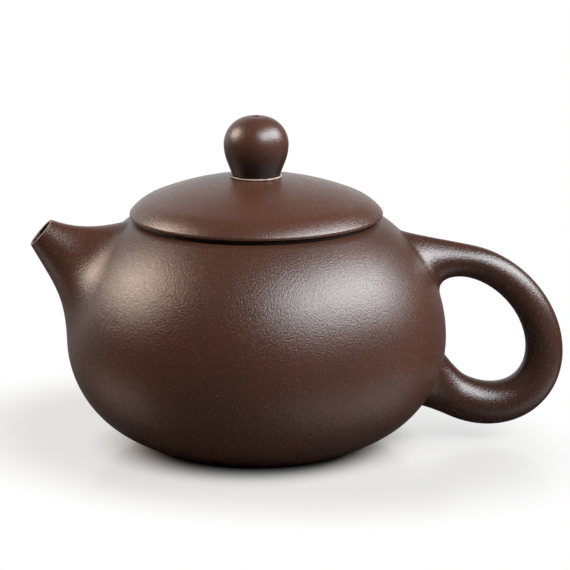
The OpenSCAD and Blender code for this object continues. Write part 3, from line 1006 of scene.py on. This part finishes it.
class TEAPOT_OT_stage(bpy.types.Operator):
    """Sets the camera, the two soft boxes, the pale floor and the white background"""
    bl_idname = "teapot.stage"
    bl_label = "Stage"
    SENSOR = 36
    CLIP = 0.01
    AIM = Vector((0, 0, 0.04))
    KEY = {"azimuth": 69, "elevation": 41.5, "distance": 1.0, "across": 1.42, "high": 0.54, "roll": -12}
    FILL = {"azimuth": -98, "elevation": 32.5, "distance": 1.0, "across": 0.60, "high": 0.48, "roll": 0}
    FLOOR_R = 3.0
    FLOOR_SIDES = 96
    FLOOR_TINT = (1.0, 0.93, 0.87, 1.0)
    FLOOR_LIGHT = 0.28
    FLOOR_BOUNCE = 0.12
    FLOOR_UNSEEN = 0.26
    FLOOR_ROUGHNESS = 0.15
    NEAR = {"turn": 0, "along": 1.05, "across": 0.96, "inner": 0.024, "outer": 0.041, "share": 0.64}
    WIDE = {"turn": -31, "along": 1.25, "across": 0.95, "inner": 0.046, "outer": 0.074, "share": 0.36}
    BEHIND = Vector((-0.3, 0.97, 0))
    BEHIND_SPAN = (0.5, 0.95)
    BEHIND_SHARE = 0.85
    BLACK = (0.0, 0.0, 0.0, 1.0)
    WHITE = (1.0, 1.0, 1.0, 1.0)

    def execute(self, context):
        s = teapot().stage
        self.camera(context, s)
        self.lamp("key", s.yaw, s.key_power, s.key_tint, **self.KEY)
        self.lamp("fill", s.yaw, s.fill_power, s.fill_tint, **self.FILL)
        self.floor()
        self.world(context, s)
        context.scene.view_settings.view_transform = "Standard"
        return {"FINISHED"}

    def camera(self, context, s):
        start_fresh()
        turn = Euler((math.pi / 2 - s.pitch, 0, -s.yaw))
        aim = Vector((s.aim_x * math.cos(s.yaw), -s.aim_x * math.sin(s.yaw), s.aim_z))
        place = aim + turn.to_matrix() @ Vector((0, 0, s.distance))
        bpy.ops.object.camera_add(location=place, rotation=turn)
        context.object.data.sensor_width = self.SENSOR
        context.object.data.lens = s.lens
        context.object.data.clip_start = self.CLIP
        context.scene.camera = context.object

    def lamp(self, name, yaw, power, rgb, azimuth, elevation, distance, across, high, roll):
        """A soft box that faces the pot. Azimuth 0 is the camera's side and 90 lies to its right."""
        start_fresh()
        a, e = math.radians(azimuth) - yaw, math.radians(elevation)
        way = Vector((math.sin(a) * math.cos(e), -math.cos(a) * math.cos(e), math.sin(e)))
        rolled = Quaternion((0, 0, 1), math.radians(roll))
        turn = (way.to_track_quat("Z", "Y") @ rolled).to_euler()
        bpy.ops.object.light_add(type="AREA", location=self.AIM + distance * way, rotation=turn)
        lamp = bpy.context.object
        lamp.name = name
        lamp.data.shape, lamp.data.size, lamp.data.size_y = "RECTANGLE", across, high
        lamp.data.energy, lamp.data.color = power, rgb

    def floor(self):
        """A pale satin floor with the pot's shade near it, which runs out into white."""
        start_fresh()
        bpy.ops.mesh.primitive_circle_add(vertices=self.FLOOR_SIDES, radius=self.FLOOR_R,
                                          fill_type="NGON")
        floor = bpy.context.object
        floor.name = "floor"
        material = bpy.data.materials.new("floor")
        tree = NodeTree(material)
        where = tree.add("ShaderNodeTexCoord", output="Object")
        seen, gloss = self.seen(tree, where)
        bounce = tree.add("ShaderNodeLightPath", output="Is Diffuse Ray")
        light = self.FLOOR_LIGHT + bounce * self.FLOOR_BOUNCE - gloss * (1 - seen) * self.FLOOR_UNSEEN
        board = tree.add("ShaderNodeBsdfPrincipled", {}, {
            "Base Color": tree.blend(light, self.BLACK, self.FLOOR_TINT),
            "Roughness": self.FLOOR_ROUGHNESS,
        })
        white = tree.add("ShaderNodeEmission", {}, {"Color": self.WHITE, "Strength": 1.0})
        far = (self.pool(tree, where, **self.NEAR) + self.pool(tree, where, **self.WIDE)) * seen
        mixed = tree.add("ShaderNodeMixShader", {}, {0: far, 1: board, 2: white})
        tree.add("ShaderNodeOutputMaterial", {}, {"Surface": mixed})
        floor.data.materials.append(material)

    def pool(self, tree, where, turn, along, across, inner, outer, share):
        """Share of white outside an oval pool of shade, which fades from an inner to an outer radius."""
        drawn = tree.add("ShaderNodeMapping", {"vector_type": "TEXTURE"}, {
            "Vector": where,
            "Rotation": (0, 0, math.radians(turn)),
            "Scale": (along, across, 1),
        })
        reach = tree.add("ShaderNodeVectorMath", {"operation": "LENGTH"}, {0: drawn}, "Value")
        return reach.between(inner, outer) * share

    def seen(self, tree, where):
        """How far a ray sees the white background: all from the camera, what lies behind in a gloss."""
        places = {0: where, 1: self.BEHIND}
        away = tree.add("ShaderNodeVectorMath", {"operation": "DOT_PRODUCT"}, places, "Value")
        behind = away.between(*self.BEHIND_SPAN) * self.BEHIND_SHARE
        camera = tree.add("ShaderNodeLightPath", output="Is Camera Ray")
        gloss = tree.add("ShaderNodeLightPath", output="Is Glossy Ray")
        through = tree.add("ShaderNodeLightPath", output="Is Transmission Ray")
        shares = {0: camera + (gloss + through) * behind, 1: 1.0}
        return tree.add("ShaderNodeMath", {"operation": "MINIMUM"}, shares), gloss

    def world(self, context, s):
        """Plain dim light from all round, with a white background behind the pot."""
        world = bpy.data.worlds.new("studio")
        context.scene.world = world
        tree = NodeTree(world)
        where = tree.add("ShaderNodeTexCoord", output="Generated")
        seen, _ = self.seen(tree, where)
        dim, white = [tree.add("ShaderNodeBackground", {}, {"Color": self.WHITE, "Strength": strength})
                      for strength in (s.room_light, 1.0)]
        mixed = tree.add("ShaderNodeMixShader", {}, {0: seen, 1: dim, 2: white})
        tree.add("ShaderNodeOutputWorld", {}, {"Surface": mixed})


class ClayTeapot(bpy.types.PropertyGroup):
    """All that a user would change."""
    belly: PointerProperty(type=BellySizes)
    spout: PointerProperty(type=SpoutSizes)
    handle: PointerProperty(type=HandleSizes)
    lid: PointerProperty(type=LidSizes)
    finish: PointerProperty(type=ClayFinish)
    stage: PointerProperty(type=StageSettings)


STEPS = (TEAPOT_OT_belly, TEAPOT_OT_base, TEAPOT_OT_mouth_ring, TEAPOT_OT_strainer, TEAPOT_OT_spout,
         TEAPOT_OT_handle, TEAPOT_OT_lid, TEAPOT_OT_knob, TEAPOT_OT_stage)


class TEAPOT_PT_panel(bpy.types.Panel):
    """Lists the teapot's steps and sizes"""
    bl_idname = "TEAPOT_PT_panel"
    bl_label = "Clay Teapot"
    bl_space_type = "VIEW_3D"
    bl_region_type = "UI"
    bl_category = "Teapot"

    def draw(self, context):
        for step in STEPS:
            self.layout.operator(step.bl_idname)
        for group in ("belly", "spout", "handle", "lid", "finish", "stage"):
            box = self.layout.box()
            sizes = getattr(context.scene.clay_teapot, group)
            for name in sizes.__annotations__:
                box.prop(sizes, name)


CLASSES = (BellySizes, SpoutSizes, HandleSizes, LidSizes, ClayFinish, StageSettings, ClayTeapot,
           *STEPS, TEAPOT_PT_panel)


def register():
    for cls in CLASSES:
        bpy.utils.register_class(cls)
    bpy.types.Scene.clay_teapot = PointerProperty(type=ClayTeapot)


def unregister():
    del bpy.types.Scene.clay_teapot
    for cls in reversed(CLASSES):
        bpy.utils.unregister_class(cls)


def main():
    register()
    bpy.ops.teapot.belly()
    bpy.ops.teapot.base()
    bpy.ops.teapot.mouth_ring()
    bpy.ops.teapot.strainer()
    bpy.ops.teapot.spout()
    bpy.ops.teapot.handle()
    bpy.ops.teapot.lid()
    bpy.ops.teapot.knob()
    bpy.ops.teapot.stage()


if __name__ == "__main__":
    main()
